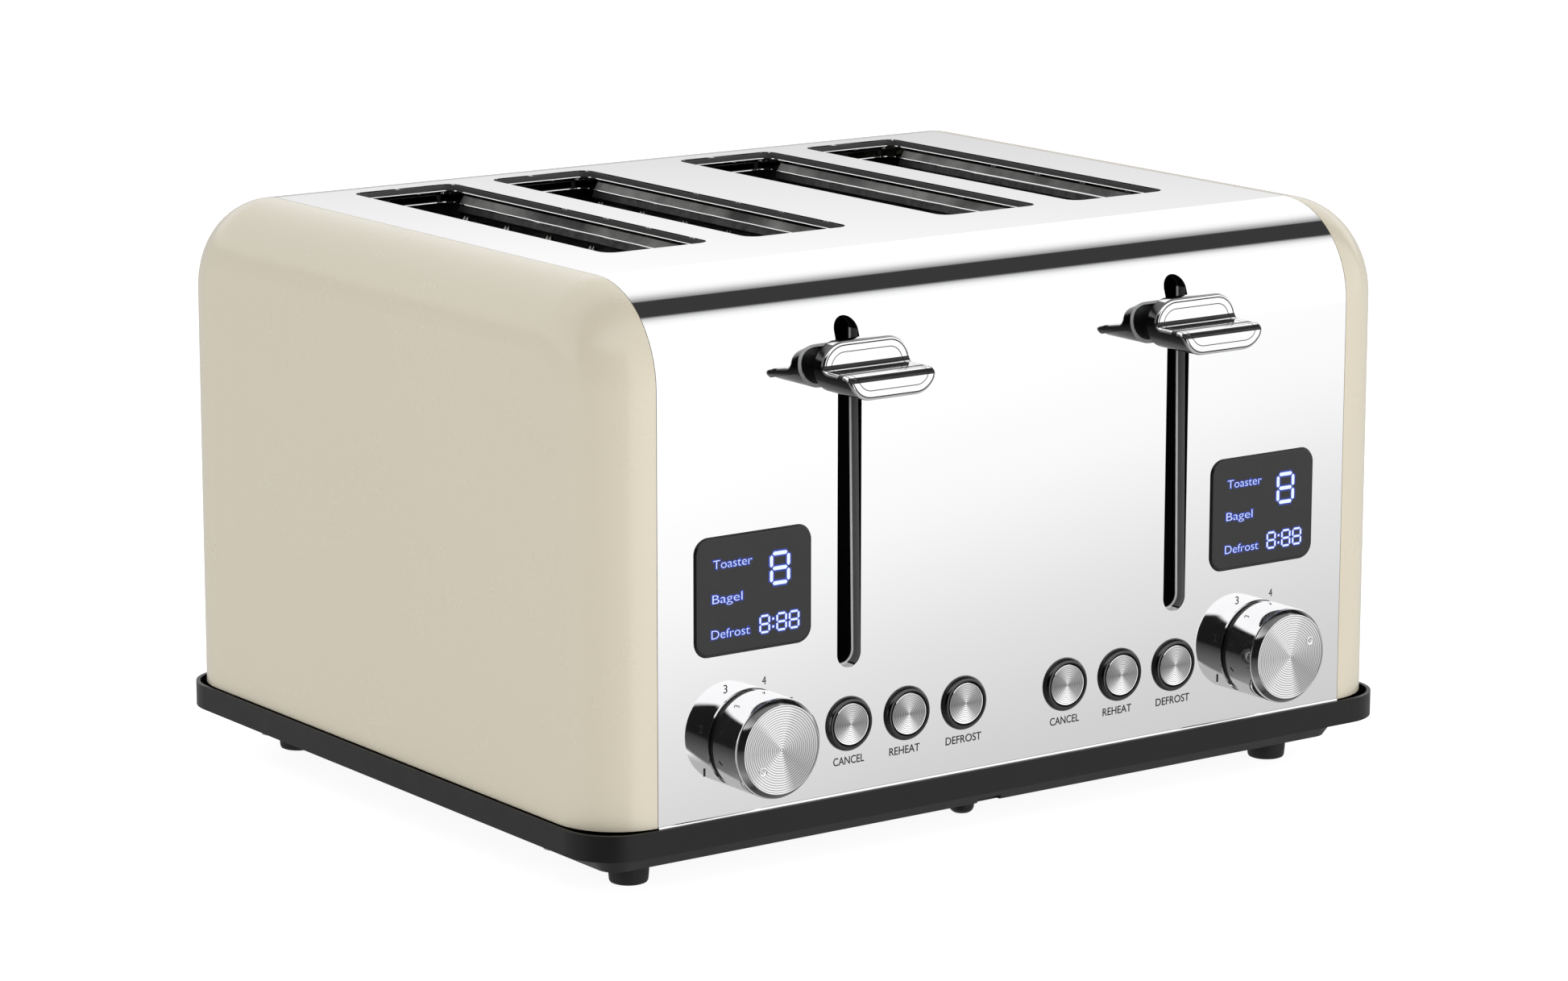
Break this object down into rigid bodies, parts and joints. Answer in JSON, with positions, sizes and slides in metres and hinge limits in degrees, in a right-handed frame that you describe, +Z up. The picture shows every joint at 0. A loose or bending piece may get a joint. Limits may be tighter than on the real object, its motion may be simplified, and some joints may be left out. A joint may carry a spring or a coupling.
{
  "type": "pop-up toaster",
  "caption": "Long-bodied pop-up toaster with side-by-side bread slots, chrome wrap, cream side panels, paired levers, dials, buttons and displays.",
  "frame": {"origin": "on the table under the middle of the toaster's box, lever knobs and rim included", "axes": "+X to the right seen from the front, +Y from front to back, +Z up"},
  "size_m": [0.314, 0.2712, 0.1855],
  "materials": {
    "chrome_sheet": "mirror-polished bent sheet",
    "cream_enamel": "satin cream enamel",
    "black_base": "fine-grained satin black moulding",
    "foot_rubber": "matte black rubber",
    "gland_plastic": "satin black moulding",
    "display_glass": "smooth charcoal display window with lit blue-white segments",
    "board_laminate": "green circuit laminate",
    "module_plastic": "grey moulding",
    "dark_chrome": "dark polished ring",
    "spun_aluminium": "concentric spun finish",
    "switch_plastic": "black moulding",
    "galvanised_steel": "spangled galvanised sheet",
    "rod_steel": "drawn bright steel",
    "magnet_coil": "enamelled copper winding",
    "mica_board": "flecked mica",
    "heater_alloy": "oxidised resistance ribbon",
    "screw_steel": "zinc-plated"
  },
  "bodies": {
    "root": {"outer_wrap": "chrome_sheet", "base_tray": "black_base", "rubber_feet": "foot_rubber", "cord_gland": "gland_plastic", "base_screws": "screw_steel", "button_bezels": "dark_chrome", "button_switches": "switch_plastic", "dial_switches": "switch_plastic", "display_modules": "module_plastic", "front_chassis_plate": "galvanised_steel", "rear_chassis_plate": "galvanised_steel", "mechanism_shelf": "galvanised_steel", "rod_strap": "galvanised_steel", "guide_rods": "rod_steel", "hold_magnets": "magnet_coil", "slot_collars": "galvanised_steel", "heater_ribbons": "heater_alloy", "left_side_panel": "cream_enamel", "left_display_lens": "display_glass", "left_control_board": "board_laminate", "left_heater_boards": "mica_board", "right_side_panel": "cream_enamel", "right_display_lens": "display_glass", "right_control_board": "board_laminate", "right_heater_boards": "mica_board"},
    "left_carriage_body": {"left_lever_knob": "chrome_sheet", "left_lever_arm": "switch_plastic", "left_carriage": "galvanised_steel", "left_armature": "rod_steel", "left_inner_bread_lifter": "rod_steel", "left_outer_bread_lifter": "rod_steel", "left_return_spring": "rod_steel"},
    "left_dial_body": {"left_browning_dial": "spun_aluminium"},
    "left_tray_body": {"left_crumb_tray": "galvanised_steel"},
    "left_cancel_body": {"left_cancel_button": "spun_aluminium"},
    "left_reheat_body": {"left_reheat_button": "spun_aluminium"},
    "left_defrost_body": {"left_defrost_button": "spun_aluminium"},
    "right_carriage_body": {"right_lever_knob": "chrome_sheet", "right_lever_arm": "switch_plastic", "right_carriage": "galvanised_steel", "right_armature": "rod_steel", "right_inner_bread_lifter": "rod_steel", "right_outer_bread_lifter": "rod_steel", "right_return_spring": "rod_steel"},
    "right_dial_body": {"right_browning_dial": "spun_aluminium"},
    "right_tray_body": {"right_crumb_tray": "galvanised_steel"},
    "right_cancel_body": {"right_cancel_button": "spun_aluminium"},
    "right_reheat_body": {"right_reheat_button": "spun_aluminium"},
    "right_defrost_body": {"right_defrost_button": "spun_aluminium"},
    "left_outer_guide_left_body": {"left_outer_guide_left": "rod_steel"},
    "left_outer_guide_right_body": {"left_outer_guide_right": "rod_steel"},
    "left_inner_guide_left_body": {"left_inner_guide_left": "rod_steel"},
    "left_inner_guide_right_body": {"left_inner_guide_right": "rod_steel"},
    "right_inner_guide_left_body": {"right_inner_guide_left": "rod_steel"},
    "right_inner_guide_right_body": {"right_inner_guide_right": "rod_steel"},
    "right_outer_guide_left_body": {"right_outer_guide_left": "rod_steel"},
    "right_outer_guide_right_body": {"right_outer_guide_right": "rod_steel"}
  },
  "joints": [
    {"name": "left_lever_slide", "type": "slide", "parent": "root", "child": "left_carriage_body", "axis": [0, 0, 1], "range_m": [-0.088, 0], "stiffness_N_per_m": 60, "springref_m": 0.05, "deforming": ["left_return_spring"]},
    {"name": "left_dial_turn", "type": "hinge", "parent": "root", "child": "left_dial_body", "pos_m": [-0.1, -0.11345, 0.0457], "axis": [0, 1, 0], "range_deg": [0, 231]},
    {"name": "left_tray_slide", "type": "slide", "parent": "root", "child": "left_tray_body", "axis": [0, 1, 0], "range_m": [0, 0.19]},
    {"name": "left_cancel_press", "type": "slide", "parent": "root", "child": "left_cancel_body", "axis": [0, 1, 0], "range_m": [0, 0.0014], "stiffness_N_per_m": 300, "springref_m": -0.001},
    {"name": "left_reheat_press", "type": "slide", "parent": "root", "child": "left_reheat_body", "axis": [0, 1, 0], "range_m": [0, 0.0014], "stiffness_N_per_m": 300, "springref_m": -0.001},
    {"name": "left_defrost_press", "type": "slide", "parent": "root", "child": "left_defrost_body", "axis": [0, 1, 0], "range_m": [0, 0.0014], "stiffness_N_per_m": 300, "springref_m": -0.001},
    {"name": "right_lever_slide", "type": "slide", "parent": "root", "child": "right_carriage_body", "axis": [0, 0, 1], "range_m": [-0.088, 0], "stiffness_N_per_m": 60, "springref_m": 0.05, "deforming": ["right_return_spring"]},
    {"name": "right_dial_turn", "type": "hinge", "parent": "root", "child": "right_dial_body", "pos_m": [0.1, -0.11345, 0.0457], "axis": [0, 1, 0], "range_deg": [-194, 37]},
    {"name": "right_tray_slide", "type": "slide", "parent": "root", "child": "right_tray_body", "axis": [0, 1, 0], "range_m": [0, 0.19]},
    {"name": "right_cancel_press", "type": "slide", "parent": "root", "child": "right_cancel_body", "axis": [0, 1, 0], "range_m": [0, 0.0014], "stiffness_N_per_m": 300, "springref_m": -0.001},
    {"name": "right_reheat_press", "type": "slide", "parent": "root", "child": "right_reheat_body", "axis": [0, 1, 0], "range_m": [0, 0.0014], "stiffness_N_per_m": 300, "springref_m": -0.001},
    {"name": "right_defrost_press", "type": "slide", "parent": "root", "child": "right_defrost_body", "axis": [0, 1, 0], "range_m": [0, 0.0014], "stiffness_N_per_m": 300, "springref_m": -0.001},
    {"name": "left_outer_guide_left_tip", "type": "hinge", "parent": "root", "child": "left_outer_guide_left_body", "pos_m": [-0.1076, 0.02215, 0.03], "axis": [0, 1, 0], "range_deg": [0, 3.6]},
    {"name": "left_outer_guide_right_tip", "type": "hinge", "parent": "root", "child": "left_outer_guide_right_body", "pos_m": [-0.0736, 0.02215, 0.03], "axis": [0, 1, 0], "range_deg": [-3.6, 0]},
    {"name": "left_inner_guide_left_tip", "type": "hinge", "parent": "root", "child": "left_inner_guide_left_body", "pos_m": [-0.05466, 0.02215, 0.03], "axis": [0, 1, 0], "range_deg": [0, 3.6]},
    {"name": "left_inner_guide_right_tip", "type": "hinge", "parent": "root", "child": "left_inner_guide_right_body", "pos_m": [-0.02066, 0.02215, 0.03], "axis": [0, 1, 0], "range_deg": [-3.6, 0]},
    {"name": "right_inner_guide_left_tip", "type": "hinge", "parent": "root", "child": "right_inner_guide_left_body", "pos_m": [0.02066, 0.02215, 0.03], "axis": [0, 1, 0], "range_deg": [0, 3.6]},
    {"name": "right_inner_guide_right_tip", "type": "hinge", "parent": "root", "child": "right_inner_guide_right_body", "pos_m": [0.05466, 0.02215, 0.03], "axis": [0, 1, 0], "range_deg": [-3.6, 0]},
    {"name": "right_outer_guide_left_tip", "type": "hinge", "parent": "root", "child": "right_outer_guide_left_body", "pos_m": [0.0736, 0.02215, 0.03], "axis": [0, 1, 0], "range_deg": [0, 3.6]},
    {"name": "right_outer_guide_right_tip", "type": "hinge", "parent": "root", "child": "right_outer_guide_right_body", "pos_m": [0.1076, 0.02215, 0.03], "axis": [0, 1, 0], "range_deg": [-3.6, 0]}
  ],
  "couplings": [
    {"joint": "left_outer_guide_left_tip", "follows": "left_lever_slide", "rad_per_m": -0.69417},
    {"joint": "left_outer_guide_right_tip", "follows": "left_lever_slide", "rad_per_m": 0.69417},
    {"joint": "left_inner_guide_left_tip", "follows": "left_lever_slide", "rad_per_m": -0.69417},
    {"joint": "left_inner_guide_right_tip", "follows": "left_lever_slide", "rad_per_m": 0.69417},
    {"joint": "right_inner_guide_left_tip", "follows": "right_lever_slide", "rad_per_m": -0.69417},
    {"joint": "right_inner_guide_right_tip", "follows": "right_lever_slide", "rad_per_m": 0.69417},
    {"joint": "right_outer_guide_left_tip", "follows": "right_lever_slide", "rad_per_m": -0.69417},
    {"joint": "right_outer_guide_right_tip", "follows": "right_lever_slide", "rad_per_m": 0.69417}
  ]
}
